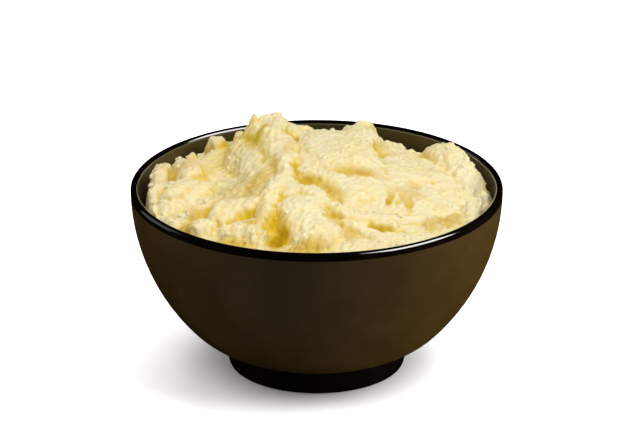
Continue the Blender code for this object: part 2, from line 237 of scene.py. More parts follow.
# %% [markdown]
# ## The glazes
# The real bowl is dipped twice: a satin dark brown glaze over the body, and a glossy black
# one on the lip and the foot. Inside, the brown is shinier, and painted lighter to stand in
# for the light that the mash throws on the inner wall. So the bowl wears three glazes, and
# each face gets one by its height and by whether it looks outwards or inwards. A fired glaze
# is never quite even: a broad mottle warms and darkens it, and fine specks break the shine.
#
# A material is a small net of nodes that ends in a Principled shader. These helpers add and
# join the few kinds of node that all the finishes here use, so each finish reads as a recipe.


# %% Node helpers
def new_material(name):
    material = bpy.data.materials.new(name)
    material.use_nodes = True
    return material, material.node_tree.nodes, material.node_tree.links


def add_node(nodes, kind, **settings):
    node = nodes.new(kind)
    for name, value in settings.items():
        setattr(node, name, value)
    return node


def set_inputs(node, **values):
    """Fills a node's sockets by name, with _ for each space in the name."""
    for name, value in values.items():
        node.inputs[name.replace("_", " ")].default_value = value


def noise_node(nodes, links, size_mm, detail=3.0, roughness=0.5):
    """Noise in the piece's own space, with a grain of that many millimetres."""
    place = nodes.new("ShaderNodeTexCoord")
    grain = nodes.new("ShaderNodeTexNoise")
    set_inputs(grain, Scale=1.0 / (size_mm * MM), Detail=detail, Roughness=roughness)
    links.new(place.outputs["Object"], grain.inputs["Vector"])
    return grain.outputs["Fac"]


def ranged(nodes, links, value, low, high, to_low=0.0, to_high=1.0):
    """A soft step from to_low to to_high, while the value goes from low to high."""
    step = add_node(nodes, "ShaderNodeMapRange", interpolation_type="SMOOTHSTEP")
    set_inputs(step, From_Min=low, From_Max=high, To_Min=to_low, To_Max=to_high)
    links.new(value, step.inputs["Value"])
    return step.outputs["Result"]


def higher(nodes, links, first, second):
    node = add_node(nodes, "ShaderNodeMath", operation="MAXIMUM")
    links.new(first, node.inputs[0])
    links.new(second, node.inputs[1])
    return node.outputs["Value"]


def mixed_colour(nodes, links, factor, first, second):
    """From the first colour to the second, as the factor goes from 0 to 1."""
    node = add_node(nodes, "ShaderNodeMix", data_type="RGBA")
    links.new(factor, node.inputs[0])
    for socket, colour in ((node.inputs[6], first), (node.inputs[7], second)):
        if isinstance(colour, tuple):
            socket.default_value = (*colour, 1.0)
        else:
            links.new(colour, socket)
    return node.outputs[2]


def add_bump(nodes, links, shader, strength, depth_mm, height):
    bump = nodes.new("ShaderNodeBump")
    set_inputs(bump, Strength=strength, Distance=depth_mm * MM)
    links.new(height, bump.inputs["Height"])
    links.new(bump.outputs["Normal"], shader.inputs["Normal"])


# %% [markdown]
# ## Three glazes from two recipes
# Both browns come from one recipe: a mottle between two browns, dark specks, a satin shine
# that varies, and a very shallow bump, because glaze never lies quite flat. The black is a
# second recipe, with a clear coat over it, because thick glassy glaze mirrors sharply.


# %% The three glazes
BODY_BROWN = (0.0106, 0.0061, 0.0010)
BODY_BROWN_WARM = (0.0146, 0.0085, 0.0020)
# painted light: the inside browns are lighter, to stand in for light from the mash on the inner
# wall
INSIDE_BROWN_PAINTED_LIGHT = (0.0230, 0.0150, 0.0030)
INSIDE_BROWN_WARM_PAINTED_LIGHT = (0.0310, 0.0205, 0.0042)
SPECK_BROWN = (0.006, 0.004, 0.001)
GLOSS_BLACK = (0.0008, 0.0005, 0.0004)
GLOSS_BLACK_CLOUDY = (0.0016, 0.0011, 0.0008)
# how broad each effect is, in millimetres
MOTTLE, SPECKS, SATIN, RIPPLE = 22.0, 0.7, 3.0, 2.2
BLACK_CLOUD, BLACK_SHINE = 9.0, 5.0


def make_brown_glaze(name, brown_low, brown_high, shine, satin_range):
    material, nodes, links = new_material(name)
    shader = nodes["Principled BSDF"]
    mottle = ranged(nodes, links, noise_node(nodes, links, MOTTLE, 5.0, 0.6), 0.3, 0.75)
    brown = mixed_colour(nodes, links, mottle, brown_low, brown_high)
    specks = ranged(nodes, links, noise_node(nodes, links, SPECKS, 2.0), 0.62, 0.72, 0.0, 0.35)
    brown = mixed_colour(nodes, links, specks, brown, SPECK_BROWN)
    links.new(brown, shader.inputs["Base Color"])
    satin = ranged(nodes, links, noise_node(nodes, links, SATIN, 4.0), 0.3, 0.7, *satin_range)
    links.new(satin, shader.inputs["Roughness"])
    add_bump(nodes, links, shader, 0.12, 0.1, noise_node(nodes, links, RIPPLE, 4.0, 0.6))
    set_inputs(shader, Specular_IOR_Level=shine)
    return material


def make_black_glaze():
    material, nodes, links = new_material("gloss_black_glaze")
    shader = nodes["Principled BSDF"]
    cloud = ranged(nodes, links, noise_node(nodes, links, BLACK_CLOUD, 4.0), 0.3, 0.7)
    black = mixed_colour(nodes, links, cloud, GLOSS_BLACK, GLOSS_BLACK_CLOUDY)
    links.new(black, shader.inputs["Base Color"])
    shine = ranged(nodes, links, noise_node(nodes, links, BLACK_SHINE, 3.0), 0.3, 0.7, 0.08, 0.13)
    links.new(shine, shader.inputs["Roughness"])
    set_inputs(shader, IOR=1.6, Specular_IOR_Level=1.0)
    set_inputs(shader, Coat_Weight=1.0, Coat_IOR=1.7, Coat_Roughness=0.06)
    return material


body_glaze = make_brown_glaze(
    "satin_brown_glaze", BODY_BROWN, BODY_BROWN_WARM, 0.12, (0.44, 0.52)
)
black_glaze = make_black_glaze()
# the inside glaze carries painted light in its lighter brown
inside_glaze_painted_light = make_brown_glaze(
    "inside_glaze_painted_light", INSIDE_BROWN_PAINTED_LIGHT, INSIDE_BROWN_WARM_PAINTED_LIGHT, 0.3, (0.3, 0.4)
)
print("glazes:", body_glaze.name, black_glaze.name, inside_glaze_painted_light.name)

# %% [markdown]
# ## Which glaze goes where
# The glazes meet at a level line, as they do when a pot is dipped. The bowl stays one piece
# with three materials, because it is one fired piece, and each face is given its material by
# its height. Separate pieces would leave seams that the real bowl doesn't have.

# %% Glaze the bowl
BODY, BLACK, INSIDE = 0, 1, 2  # places of the glazes in the bowl's list of materials
LIP_GLAZE_DEPTH = 2.7  # how far down the outside the black glaze of the lip runs
FOOT_GLAZE_TOP = FOOT_HEIGHT + 0.1  # just over the ledge of the foot, so the ledge is black

bowl = build_bowl(body_glaze)
bowl.data.materials.append(black_glaze)
bowl.data.materials.append(inside_glaze_painted_light)
for face in bowl.data.polygons:
    outwards = face.normal.x * face.center.x + face.normal.y * face.center.y > 0.0
    face.material_index = BODY if outwards else INSIDE
    lip_glaze = BOWL_HEIGHT - (LIP_GLAZE_DEPTH if outwards else LIP_RADIUS)
    if face.center.z > lip_glaze * MM or face.center.z < FOOT_GLAZE_TOP * MM:
        face.material_index = BLACK
black_faces = sum(face.material_index == BLACK for face in bowl.data.polygons)
print(black_faces, "of", len(bowl.data.polygons), "faces of the bowl are black")
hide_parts("bowl")
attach(bowl, "root")

# %% [markdown]
# ## The heap
# Mash keeps the shape of every spoonful, so a real heap is a low mound with pieces laid on
# it: flat-topped slabs with rounded rims, rounder dollops, scoops that the spoon took away,
# small pits, strokes, and creases where one piece stopped against the next. It could be
# sculpted by hand or grown with a simulation, but a height worked out for every place is
# easier to steer: each piece has its own line in a table, in millimetres on the plan of the
# bowl, with the diner at -Y. Heights blend with a soft maximum, so two pieces meet in a
# crease, as they do in the bowl.

# %% The mound, in millimetres above the table
WALL_GAP = 0.3  # between the mash and the glaze
CONTACT_FRONT = 68.5  # where the mash meets the wall
CONTACT_SIDE = 63.8
CONTACT_BACK = 60.0
LEFT_GAP_DEPTH = 6.5  # how much lower it meets the wall at the left
MOUND_EDGE = 69.0  # height of the mound at its radius
MOUND_RISE = 13.0  # how much higher its middle is
MOUND_RADIUS = 64.0
MOUND_SHIFT = 6.0  # how far its middle lies behind the bowl's
BACK_SLUMP = 5.0  # how far it sinks at the back
BASE_DROP = 1.6  # how far it lies back between the pieces laid on it
print("the mound's middle is at", MOUND_EDGE + MOUND_RISE, "mm, the rim at", round(BOWL_HEIGHT, 1))

# %% [markdown]
# ## Plates of mash
# The spoon lays mash down in slabs, and each slab keeps a flat top and a rounded rim. Here
# one is an outline on the plan with a lift above the mound, and a slope where it lies
# aslant. A narrow rim gives it a steep edge, and a wide one a soft shoulder.

# %% Plates
# name, lift above the mound, slope along x and y, width of the rounded rim, outline
PLATES = (
    ("right_plateau", 0.2, 0.0, 0.0, 3.0, ((14, -37), (26, -36), (38, -33), (50, -27), (59, -17),
     (62, -5), (61, 8), (56, 17), (48, 18), (40, 12), (30, 15), (24, 10), (20, -10))),
    ("ridge_skirt", 1.0, 0.0, 0.0, 5.2, ((-21, 26), (-20, 18), (-18.5, 8), (-17.5, -2), (-18, -11),
     (-20, -18), (-22, -24), (-16, -26), (-12, -10), (-12, 26))),
    ("peak_skirt", 3.0, 0.0, 0.0, 6.0, ((-24, 31), (-26, 26), (-24.5, 17), (-21, 8), (-14, 6),
     (-12, 30))),
    ("main_ridge", 4.0, 0.0, 0.03, 1.8, ((-19, 28), (-18, 18), (-17, 8), (-16.5, -1),
     (-15.5, -8), (-15.5, -15), (-18, -22), (-20.5, -31), (-22, -38), (-22, -43), (-19.5, -45),
     (-17.5, -43), (-16, -38), (-13, -31), (-9.5, -20), (-8.5, -8), (-8.5, 10), (-9, 28))),
    ("crevice_fill", 1.8, 0.0, 0.0, 3.0, ((1, -18), (6, -21), (10, -28), (15, -33), (11, -35),
     (6, -31), (2, -26), (-1, -21))),
    ("tongue_root", 2.6, 0.0, 0.0, 2.0, ((-11, -16), (-7, -20), (-4, -25), (-6, -30), (-12, -30),
     (-13, -22))),
    ("slab", 2.2, 0.0, 0.0, 2.0, ((-10, 28), (-9, 8), (-8, -6), (-6.5, -13.5), (-2.5, -17),
     (1, -19.5), (4.5, -22.5), (7, -26), (10, -29.5), (13, -31.5), (18, -30), (23, -25),
     (25, -10), (23, 8), (19, 24), (12, 32), (0, 33))),
    ("slab_top", 3.3, 0.0, 0.0, 0.9, ((-3, 26), (-6, 12), (-4, 0), (2, -5), (8, -8.5),
     (13, -10), (19, -10.5), (21.5, -6), (21.5, 6), (20, 16), (12, 23))),
    ("slab_back", 3.6, 0.0, 0.0, 2.2, ((11, 16), (20.5, 10), (21.5, 28), (21, 40), (14, 41),
     (11, 30))),
    ("front_fill", 2.0, 0.0, 0.0, 2.0, ((3, -44), (12, -42), (22, -42), (34, -42), (44, -38),
     (45, -42), (36, -47), (28, -50), (20, -52), (10, -55), (3, -57))),
    ("right_shoulder", 1.6, 0.0, 0.0, 4.0, ((40, 3), (46, 10), (54, 10), (60, -2), (59, -13),
     (52, -17), (44, -9))),
    ("tongue", 2.8, -0.03, 0.0, 1.0, ((-5, -24.5), (-2.5, -25), (0.5, -26), (3, -29), (5.5, -33),
     (9, -36), (18, -38.5), (26, -39.5), (34, -39), (34, -42), (26, -43.5), (16, -43.5),
     (10, -43), (4, -40), (0, -35), (-4, -31), (-6, -27))),
    ("fold", 2.0, 0.0, 0.0, 1.2, ((24, -38), (32, -37), (40, -34.5), (46, -32), (48, -35),
     (42, -39), (34, -42), (26, -43.5), (20, -42.5))),
    ("front_dollop", 3.6, 0.0, -0.02, 2.2, ((-14, -34), (-7, -30), (0, -31), (3.5, -36),
     (4.5, -44), (5.5, -52), (4, -60), (-3, -63), (-5.5, -62), (-6.5, -56), (-9, -48),
     (-12.5, -42))),
    ("low_slab", 2.8, 0.0, 0.0, 1.2, ((5, -58), (12, -54.5), (20, -50.5), (28, -48.5), (34, -47),
     (40, -47), (44, -50), (36, -58), (26, -63), (14, -67), (4, -68))),
    ("right_mound", 6.7, 0.0, 0.08, 4.0, ((45, 19.5), (46.8, 25.5), (51, 28), (56, 22), (60, 14),
     (61.5, 6), (59, -4), (56, -10), (54, -8), (51, 2), (48, 10), (46, 17))),
    ("back_middle", 0.0, 0.0, 0.0, 2.0, ((-4, 33), (-4, 38), (2, 40), (12, 41), (15, 37),
     (11, 32), (2, 31))),
    ("peak_foot", 2.4, 0.0, 0.0, 2.5, ((-31, 30), (-28, 34), (-22, 34), (-22, 24), (-27, 23),
     (-30.5, 26))),
    ("peak_slope", 5.4, 0.0, 0.22, 2.4, ((-22, 16), (-20, 8), (-18, 0), (-16, -7), (-10.5, -7),
     (-9.5, 4), (-9.5, 14), (-12, 21), (-20, 22))),
    ("peak_side", 5.2, 0.0, 0.0, 2.4, ((-14, 34), (-6, 34), (-5, 27), (-8, 19), (-12, 13),
     (-18, 16), (-16, 26))),
    ("peak", 8.0, 0.0, 0.0, 1.8, ((-27.5, 26.5), (-27.5, 33), (-16, 35), (-11, 34), (-9.5, 27),
     (-10.5, 18), (-13, 11), (-18.5, 11), (-21.5, 15), (-23.5, 21))),
    ("left_outer", 4.0, -0.2, 0.0, 1.6, ((-64, 8), (-62, 15), (-58, 17), (-56.5, 14),
     (-57.5, 8), (-61, 4))),
    ("left_ridge", 2.0, 0.0, 0.0, 1.8, ((-54, 18), (-51, 20), (-47.5, 16), (-45, 9), (-44.5, 3),
     (-47, 0), (-52, 5), (-54.5, 12))),
    ("left_lobe", 1.4, -0.12, 0.0, 2.0, ((-62, -2), (-59, 1), (-52, 0), (-45, -3), (-41.5, -6),
     (-41.5, -10), (-45, -14), (-47, -19), (-53, -21), (-58, -25), (-61, -23), (-64, -14))),
    ("left_low", 2.8, 0.0, 0.0, 1.3, ((-56, -31), (-52, -30), (-46, -27), (-40, -25),
     (-39, -27), (-42, -31), (-48, -35), (-53, -38), (-57, -36))),
    ("ledge", 1.6, 0.0, 0.0, 1.0, ((-41, -27), (-36, -26), (-30, -27), (-24, -28), (-19, -29),
     (-19, -36), (-24, -35.5), (-29, -35), (-32, -38), (-34, -41), (-37, -40), (-38.5, -35))),
    ("front_left_bank", 1.4, 0.0, 0.0, 1.2, ((-40, -44), (-32, -42), (-29, -41), (-24, -41),
     (-20, -42), (-20, -46), (-20.5, -54), (-20, -62), (-26, -61), (-36, -56), (-40, -50))),
)
print(len(PLATES), "plates")

# %% [markdown]
# ## Dollops
# What drops off a spoon in one go is rounder: an oval on the plan, with a dome over it. A
# flatness of 1 gives a dome like a hill, and a larger one a loaf with a flatter top and
# steeper sides. The peak and the ribs at the front are rows of such domes.

# %% Dollops
# name, x, y, half length, half width, turn in degrees, lift above the mound, flatness
DOLLOPS = (
    ("peak_spike", -24.4, 30, 3.0, 3.6, 0, 10.4, 1.1),
    ("peak_middle", -20.5, 30, 5, 3.4, 0, 9.4, 2.0),
    ("peak_top", -16.5, 30, 5.0, 4.4, 0, 9.4, 2.4),
    ("peak_foot_lump", -29.8, 31, 2.6, 3.4, 30, 3.4, 1.8),
    ("peak_foot_crumb", -26.5, 25, 3, 2.6, 30, 1.6, 1.3),
    ("back_left_crumb", -47.5, 24, 2.4, 2.4, 0, 0.8, 1.8),
    ("back_left_ball", -38.2, 35, 3.2, 4.2, 0, 2.6, 2.2),
    ("left_ridge_head", -53, 20, 2.8, 2.8, -50, 2.0, 1.5),
    ("left_bulge", -60.5, -9, 7, 4.5, 80, 4.6, 1.4),
    ("left_bulge_two", -52, -14, 6, 5, 30, 4.0, 1.6),
    ("front_left_ball", -41.7, -43, 6.0, 5.0, 15, 4.8, 2.6),
    ("front_rib_one", -33.8, -49, 7, 3.2, 80, 4.0, 1.3),
    ("front_rib_two", -29.2, -51, 7, 2.6, 84, 2.8, 1.3),
    ("ledge_lump", -38, -33, 7, 4.5, 60, 3.0, 1.8),
    ("rib_one", -24.2, -52, 8, 2.8, 84, 4.2, 1.2),
    ("rib_two", -20.3, -53, 8, 2.2, 80, 3.0, 1.2),
    ("dollop_foot", 6, -50, 6, 5, 20, 2.4, 1.4),
    ("dollop_foot_two", 1, -59, 7, 6, 0, 4.4, 1.6),
    ("back_ridge", -5, 34, 4.6, 4, 0, 3.2, 1.6),
    ("back_peak", 18.9, 39, 3.8, 4, 0, 5.0, 2.6),
    ("back_peak_left", 14, 37, 5, 5, 0, 2.6, 1.4),
    ("right_lump_one", 43, -41, 5, 3.4, 35, 3.4, 1.4),
    ("right_lump_two", 51, -33, 6, 4, 45, 3.4, 1.4),
    ("right_lump_three", 58, -22, 7, 4.4, 60, 3.6, 1.4),
)
print(len(DOLLOPS), "dollops")

# %% [markdown]
# ## Where mash was taken away
# The back of the spoon leaves broad scoops, its edge draws strokes, and a tine or a corner
# presses small pits. Scoops are cut from the mound first, so that plates and dollops can
# stand in them, and strokes and pits go into the finished heap.

# %% Scoops, pits and strokes
# name, x, y, half length, half width, turn, height of the floor, rise of the sides at one
# half width out, rise of the floor for each millimetre towards the back
SCOOPS = (
    ("left_flank", -38.5, 8, 46, 18, 84, 71.2, 9.5, 0.05),
    ("back_saddle", 36.5, 46, 13.5, 23, 0, 65.6, 8.0, 0.0),
    ("left_back", -49, 35, 17, 8, 54, 64.0, 6.0, 0.0),
    ("left_gap", -68, -8, 14, 4.5, 96, 63.0, 8.0, 0.0),
)

# name, x, y, half length, half width, turn, depth
PITS = (
    ("peak_hollow", -23.0, 24.0, 3.0, 2.4, 20, 1.2),
    ("ridge_pit", -8.8, 18, 4, 1.8, 80, 4.0),
    ("ridge_pit_low", -10.0, 2, 3, 1.3, 80, 1.6),
    ("ridge_pit_side", -7, -8, 3.0, 1.8, 60, 2.0),
    ("cross_crease", 14.5, -13.5, 6.5, 2.0, -6, 2.6),
    ("tine_mark_one", 26.9, -25.5, 5.5, 1.0, 88, 2.0),
    ("tine_mark_two", 29.8, -26, 5.0, 0.8, 86, 1.4),
    ("tine_mark_three", 33.2, -27, 5.0, 1.2, 108, 2.0),
    ("thumb_mark", 36, -14, 3.6, 3.0, 80, 1.8),
    ("slab_side", 24.5, 12, 7.0, 2.6, 85, 1.4),
    ("left_pit", -55, 9, 4.5, 2.4, 60, 3.6),
    ("left_notch", -62, 4, 3, 2, 0, 2.6),
    ("front_pit_one", -37.5, -40, 2.6, 1.6, 10, 2.4),
    ("front_pit_two", -26, -38.5, 2.8, 2.0, 0, 1.6),
    ("front_fold", -44, -22, 6, 1.3, 12, 2.2),
    ("right_pit_one", 39.5, -40, 2.8, 1.5, 50, 3.0),
    ("right_pit_two", 48.5, -31, 2.8, 1.5, 30, 2.6),
    ("right_pit_three", 53, -25, 3.5, 1.5, 40, 2.0),
    ("right_crack", 62.5, -10, 4, 0.9, 60, 3.5),
)

# name, course, half width, depth
STROKES = (
    ("crevice", ((-9, -12), (-5, -15.5), (-1, -18.5), (1.8, -22.5), (4.5, -28), (8, -33)),
     1.8, 0.5),
    ("ridge_end", ((-15, -35), (-15, -42), (-14.5, -48)), 1.2, 1.6),
    ("deep_valley", ((-15.5, -45), (-14.5, -49), (-13.5, -55), (-12, -60)), 3.2, 6.5),
    ("low_valley", ((9, -46.5), (12, -49), (15, -51.5), (18, -54)), 1.8, 2.0),
    ("slit", ((21, -45.5), (25, -46.8), (31, -46.3)), 1.3, 5.0),
    ("left_valley", ((-40.5, -28), (-43, -31.5), (-47, -34.5), (-53, -39)), 2.2, 3.4),
    ("lobe_crease", ((-57, -5), (-56.5, -12), (-58, -22), (-56, -28)), 1.2, 1.4),
)
print(len(SCOOPS), "scoops,", len(PITS), "pits and", len(STROKES), "strokes")

# %% [markdown]
# ## One height for every place
# Each helper measures how near a place is to a piece of the plan: to an oval, to a course of
# short legs, or to the edge of an outline. The height then goes through the tables in the
# order in which the heap was made. NumPy does this for the whole plan at once.


# %% The height of the heap
CREASE_SOFTNESS = 0.6  # how rounded the crease between two pieces is


def mound_height(x, y):
    reach = np.hypot(x, y - MOUND_SHIFT) / MOUND_RADIUS
    slump = np.clip((y - MOUND_RADIUS / 2) / (MOUND_RADIUS / 2), 0.0, 1.0)
    return MOUND_EDGE + MOUND_RISE * np.maximum(1.0 - reach**2, -0.3) - BACK_SLUMP * slump**2


def oval_reach(x, y, centre_x, centre_y, length, width, turned):
    """Squared distance from an oval's centre: 1 on its outline."""
    angle = math.radians(turned)
    dx = x - centre_x
    dy = y - centre_y
    along = (dx * math.cos(angle) + dy * math.sin(angle)) / length
    across = (dy * math.cos(angle) - dx * math.sin(angle)) / width
    return along**2 + across**2


def course_distance(x, y, course):
    nearest = np.full(x.shape, np.inf)
    for (x0, y0), (x1, y1) in zip(course[:-1], course[1:]):
        leg_x, leg_y = x1 - x0, y1 - y0
        share = ((x - x0) * leg_x + (y - y0) * leg_y) / (leg_x**2 + leg_y**2)
        share = np.clip(share, 0.0, 1.0)
        distance = np.hypot(x - x0 - share * leg_x, y - y0 - share * leg_y)
        nearest = np.minimum(nearest, distance)
    return nearest


def inside_distance(x, y, outline):
    """Distance to a closed outline: above zero inside it."""
    closed = outline + outline[:1]
    crossings = np.zeros(x.shape, int)
    for (x0, y0), (x1, y1) in zip(closed[:-1], closed[1:]):
        if y0 != y1:
            crosses = ((y0 > y) != (y1 > y)) & (x < x0 + (y - y0) * (x1 - x0) / (y1 - y0))
            crossings += crosses
    return course_distance(x, y, closed) * np.where(crossings % 2 == 1, 1.0, -1.0)


def heap_height(x, y):
    mound = mound_height(x, y)
    height = mound - BASE_DROP
    for _, *oval, floor, rise, climb in SCOOPS:
        scooped = floor + rise * oval_reach(x, y, *oval) + climb * (y - oval[1])
        height = -smooth_max(-height, -scooped, CREASE_SOFTNESS)
    for _, lift, slope_x, slope_y, rim, outline in PLATES:
        inside = inside_distance(x, y, outline) / rim
        middle_x, middle_y = np.mean(outline, axis=0)
        top = lift + slope_x * (x - middle_x) + slope_y * (y - middle_y)
        drop = (lift + BASE_DROP) * np.exp(-1.0 - np.clip(inside, -3.0, None))
        height = smooth_max(height, mound + top - drop, CREASE_SOFTNESS)
    for _, *oval, lift, flatness in DOLLOPS:
        reach = oval_reach(x, y, *oval) ** flatness
        height = smooth_max(height, mound + lift - (lift + BASE_DROP) * reach, CREASE_SOFTNESS)
    for _, course, half_width, depth in STROKES:
        reach = course_distance(x, y, course) / half_width
        height -= depth * np.exp(-(reach**2))
    for _, *oval, depth in PITS:
        height -= depth * np.exp(-oval_reach(x, y, *oval))
    return height


# %% [markdown]
# ## A grid that fits a round bowl
# A square grid bent into a disc keeps all cells nearly the same size, where spokes and rings
# would crowd in the middle. The outermost cells follow the wall of the bowl, and the height
# there is where the mash touches the glaze: high in front, lower behind.


# %% Lay out the grid
GRID = 277  # points along each side of the square


def disc_grid(count):
    """A square of count x count points bent into a disc of radius 1."""
    line = np.linspace(-1.0, 1.0, count)
    a, b = np.meshgrid(line, line, indexing="ij")
    sideways = np.abs(a) > np.abs(b)
    radius = np.where(sideways, a, b)
    with np.errstate(divide="ignore", invalid="ignore"):
        angle = np.where(sideways, (math.pi / 4) * (b / a), math.pi / 2 - (math.pi / 4) * (a / b))
    angle = np.where(radius == 0.0, 0.0, angle)
    return radius * np.cos(angle), radius * np.sin(angle)


def contact_height(turn):
    """How high the mash meets the wall, at a bearing from the middle in radians."""
    towards_back = np.sin(turn)
    front = CONTACT_SIDE + (CONTACT_FRONT - CONTACT_SIDE) * smooth_step(0.0, 0.5, -towards_back)
    back = CONTACT_SIDE + (CONTACT_BACK - CONTACT_SIDE) * smooth_step(0.0, 0.9, towards_back)
    towards_left = np.exp(-((np.abs(turn) - math.pi) / 0.3) ** 2)
    return np.where(towards_back < 0, front, back) - LEFT_GAP_DEPTH * towards_left


wall = inner_outline(WALL_GAP, 120)[::-1]
wall_heights = np.array([point.y for point in wall])
wall_radii = np.array([point.x for point in wall])


def wall_radius(height):
    """Half the width of the bowl's inside at a height, less the gap."""
    return np.interp(height, wall_heights, wall_radii)


disc_x, disc_y = disc_grid(GRID)
edge = wall_radius(contact_height(np.arctan2(disc_y, disc_x)))
plan_x = disc_x * edge
plan_y = disc_y * edge
print("grid cells are about", round(2 * edge.mean() / GRID, 2), "mm wide")

# %% [markdown]
# ## Raising it
# A height on a plan has one weakness: where the heap is steep, its cells are stretched and
# would show as facets. So the grid's points are drawn towards the steep places a few times,
# and the height is worked out again each time. The outlines in the tables are also a little
# too tidy for food, so noise makes them wander by a millimetre or two.


# %% Raise the heap
EDGE_SHOULDER = 2.6  # the mash turns down to the wall over this width
EDGE_BACK_EXTRA = 1.2  # and over this much more at the back
FRONT_BEAD = 1.2  # in front the mash stands at least this far above that line
FRONT_SOFTNESS = 1.5
WANDER = ((1.6, 10.0), (0.12, 3.4))  # how far outlines wander, over how many millimetres
EVENING_ROUNDS = 5


def raised(x, y):
    """Points of the heap over a plan, with wandering edges and the steep side at the wall."""
    flat = np.stack([x, y, np.zeros_like(x)], axis=-1).reshape(-1, 3)
    (far, broad), (near, fine) = WANDER
    drift_x = far * noise_at(flat, broad, 1) + near * noise_at(flat, fine, 2)
    drift_y = far * noise_at(flat, broad, 3) + near * noise_at(flat, fine, 4)
    height = heap_height(x + drift_x.reshape(x.shape), y + drift_y.reshape(x.shape))
    turn = np.arctan2(y, x)
    contact = contact_height(turn)
    edge = wall_radius(contact)
    front_level = contact + FRONT_BEAD * smooth_step(0.2, 0.6, -np.sin(turn))
    height = np.where(y < 0, smooth_max(height, front_level, FRONT_SOFTNESS), height)
    shoulder = EDGE_SHOULDER + EDGE_BACK_EXTRA * smooth_step(0.0, 0.6, np.sin(turn))
    share = smooth_step(edge - shoulder, edge, np.hypot(x, y))
    return np.stack([x, y, height * (1.0 - share) + contact * share], axis=-1)


def evened(surface, rounds):
    """Draws grid points towards the steep places, so that cells there aren't stretched."""
    for _ in range(rounds):
        pull = np.zeros((GRID, GRID, 2))
        weight = np.zeros((GRID, GRID, 1))
        for axis in (0, 1):
            leg = np.diff(surface, axis=axis)
            length = np.linalg.norm(leg, axis=-1, keepdims=True)
            ahead = (slice(1, None), slice(None)) if axis == 0 else (slice(None), slice(1, None))
            behind = (slice(None, -1), slice(None)) if axis == 0 else (slice(None), slice(None, -1))
            pull[behind] += leg[..., :2] * length
            pull[ahead] -= leg[..., :2] * length
            weight[behind] += length
            weight[ahead] += length
        step = 0.5 * pull / weight
        step[[0, -1], :] = 0.0
        step[:, [0, -1]] = 0.0
        surface = raised(surface[..., 0] + step[..., 0], surface[..., 1] + step[..., 1])
    return surface


rough_surface = evened(raised(plan_x, plan_y), EVENING_ROUNDS)
longest = np.linalg.norm(np.diff(rough_surface, axis=0), axis=-1).max()
print("heap top at", round(rough_surface[..., 2].max(), 1), "mm; longest cell", round(longest, 1))

# %% [markdown]
# ## Lumps and grain
# Close up, mash is made of soft lumps with creases between them, and on those sit granules
# where the potato broke instead of mashing. Pushing points out along the surface normal,
# and not just upwards, lets lumps bulge over the creases beside them. The same points are
# used as for the heap, so no modifier is needed, and each kind of lump can be strong in one
# place and faint in another.


# %% Surface helpers
def surface_normals(surface):
    along = np.gradient(surface, axis=0)
    across = np.gradient(surface, axis=1)
    normal = np.cross(along, across)
    return normal / np.maximum(np.linalg.norm(normal, axis=-1, keepdims=True), 1e-9)


def domes(points, size, seed):
    """Rounded lumps with creases between them: 1 on a lump's top, 0 in a crease."""
    shift = Vector((seed * 13.7, seed * -7.9, seed * 4.3))
    height = np.empty(len(points))
    for i, point in enumerate(points.tolist()):
        nearest = noise.voronoi(Vector(point) / size + shift)[0][0]
        height[i] = 1.0 - nearest * nearest
    return np.clip(height, 0.0, 1.0)


def near_oval(surface, x, y, length, width, turned):
    """1 in the middle of an oval on the plan, fading to 0 outside it."""
    reach = oval_reach(surface[..., 0], surface[..., 1], x, y, length, width, turned)
    return np.exp(-(reach**2))


# %% [markdown]
# ## Four sizes of lump
# Soft noise makes the broadest lumps. Rounded cells with creases between them make knobs
# and then crumbs, because boiled potato breaks into rounded bits, and a rougher noise makes
# the grain. The spoon drew the left flank smooth, and towards the wall the mash is more
# crumbly. At the wall itself nothing is pushed, so that the mash doesn't poke into the glaze.


# %% Add lumps and grain
LUMP_SIZE = 6.0
LUMP_HEIGHT = 0.45
CRUMB_SIZE = 2.2
CRUMB_HEIGHT = 0.5
GRAIN_SIZE = 1.8
GRAIN_HEIGHT = 0.65
DOME_LEVEL = 0.7  # this height of a dome stays level, so that domes don't swell the heap
BEND_SIZE = 3.0  # creases are bent over this length,
LUMP_BEND, KNOB_BEND = 0.9, 1.4  # and moved about this much
PATCH_SIZE = 12.0  # lumpier and smoother patches are about this wide
HELD_WIDTH = 1.2  # relief fades out this close to the wall
SMOOTH_FLANK = (-31, 4, 24, 12, 80)  # an oval: the spoon drew the left flank smooth


def with_relief(surface):
    """Lumps, knobs, crumbs and grain, pushed out of the surface or into it."""
    shape = surface.shape[:2]
    normal = surface_normals(surface)
    points = surface.reshape(-1, 3)
    drift = np.stack([noise_at(points, BEND_SIZE, seed) for seed in (11, 12, 13)], axis=-1)
    bent = points + LUMP_BEND * drift
    lumps = noise_at(bent, LUMP_SIZE, 5, 3, 0.6).reshape(shape)
    knobs = domes(points + KNOB_BEND * drift, 2.0 * CRUMB_SIZE, 9).reshape(shape)
    crumbs = domes(bent, CRUMB_SIZE, 6).reshape(shape)
    grains = noise_at(points, GRAIN_SIZE, 7, 4, 0.85).reshape(shape)
    patches = noise_at(points, PATCH_SIZE, 8).reshape(shape)
    radius = np.hypot(surface[..., 0], surface[..., 1])
    flank = near_oval(surface, *SMOOTH_FLANK)
    outer = smooth_step(50.0, 62.0, radius)
    lumpy = (0.75 + 0.5 * patches) * (1.0 - 0.7 * flank)
    crumbly = np.clip(0.4 + 0.7 * patches + 0.8 * outer + 0.1 * flank, 0.1, 1.5)
    rise = LUMP_HEIGHT * lumpy * lumps
    rise += LUMP_HEIGHT * np.clip(lumpy, 0.0, 1.0) * (knobs - DOME_LEVEL)
    rise += CRUMB_HEIGHT * crumbly * (crumbs - DOME_LEVEL)
    rise += GRAIN_HEIGHT * grains * (0.6 + 0.1 * flank + 0.4 * crumbly)
    held = 1.0 - smooth_step(edge - HELD_WIDTH, edge, radius)
    return surface + normal * (rise * held)[..., None]


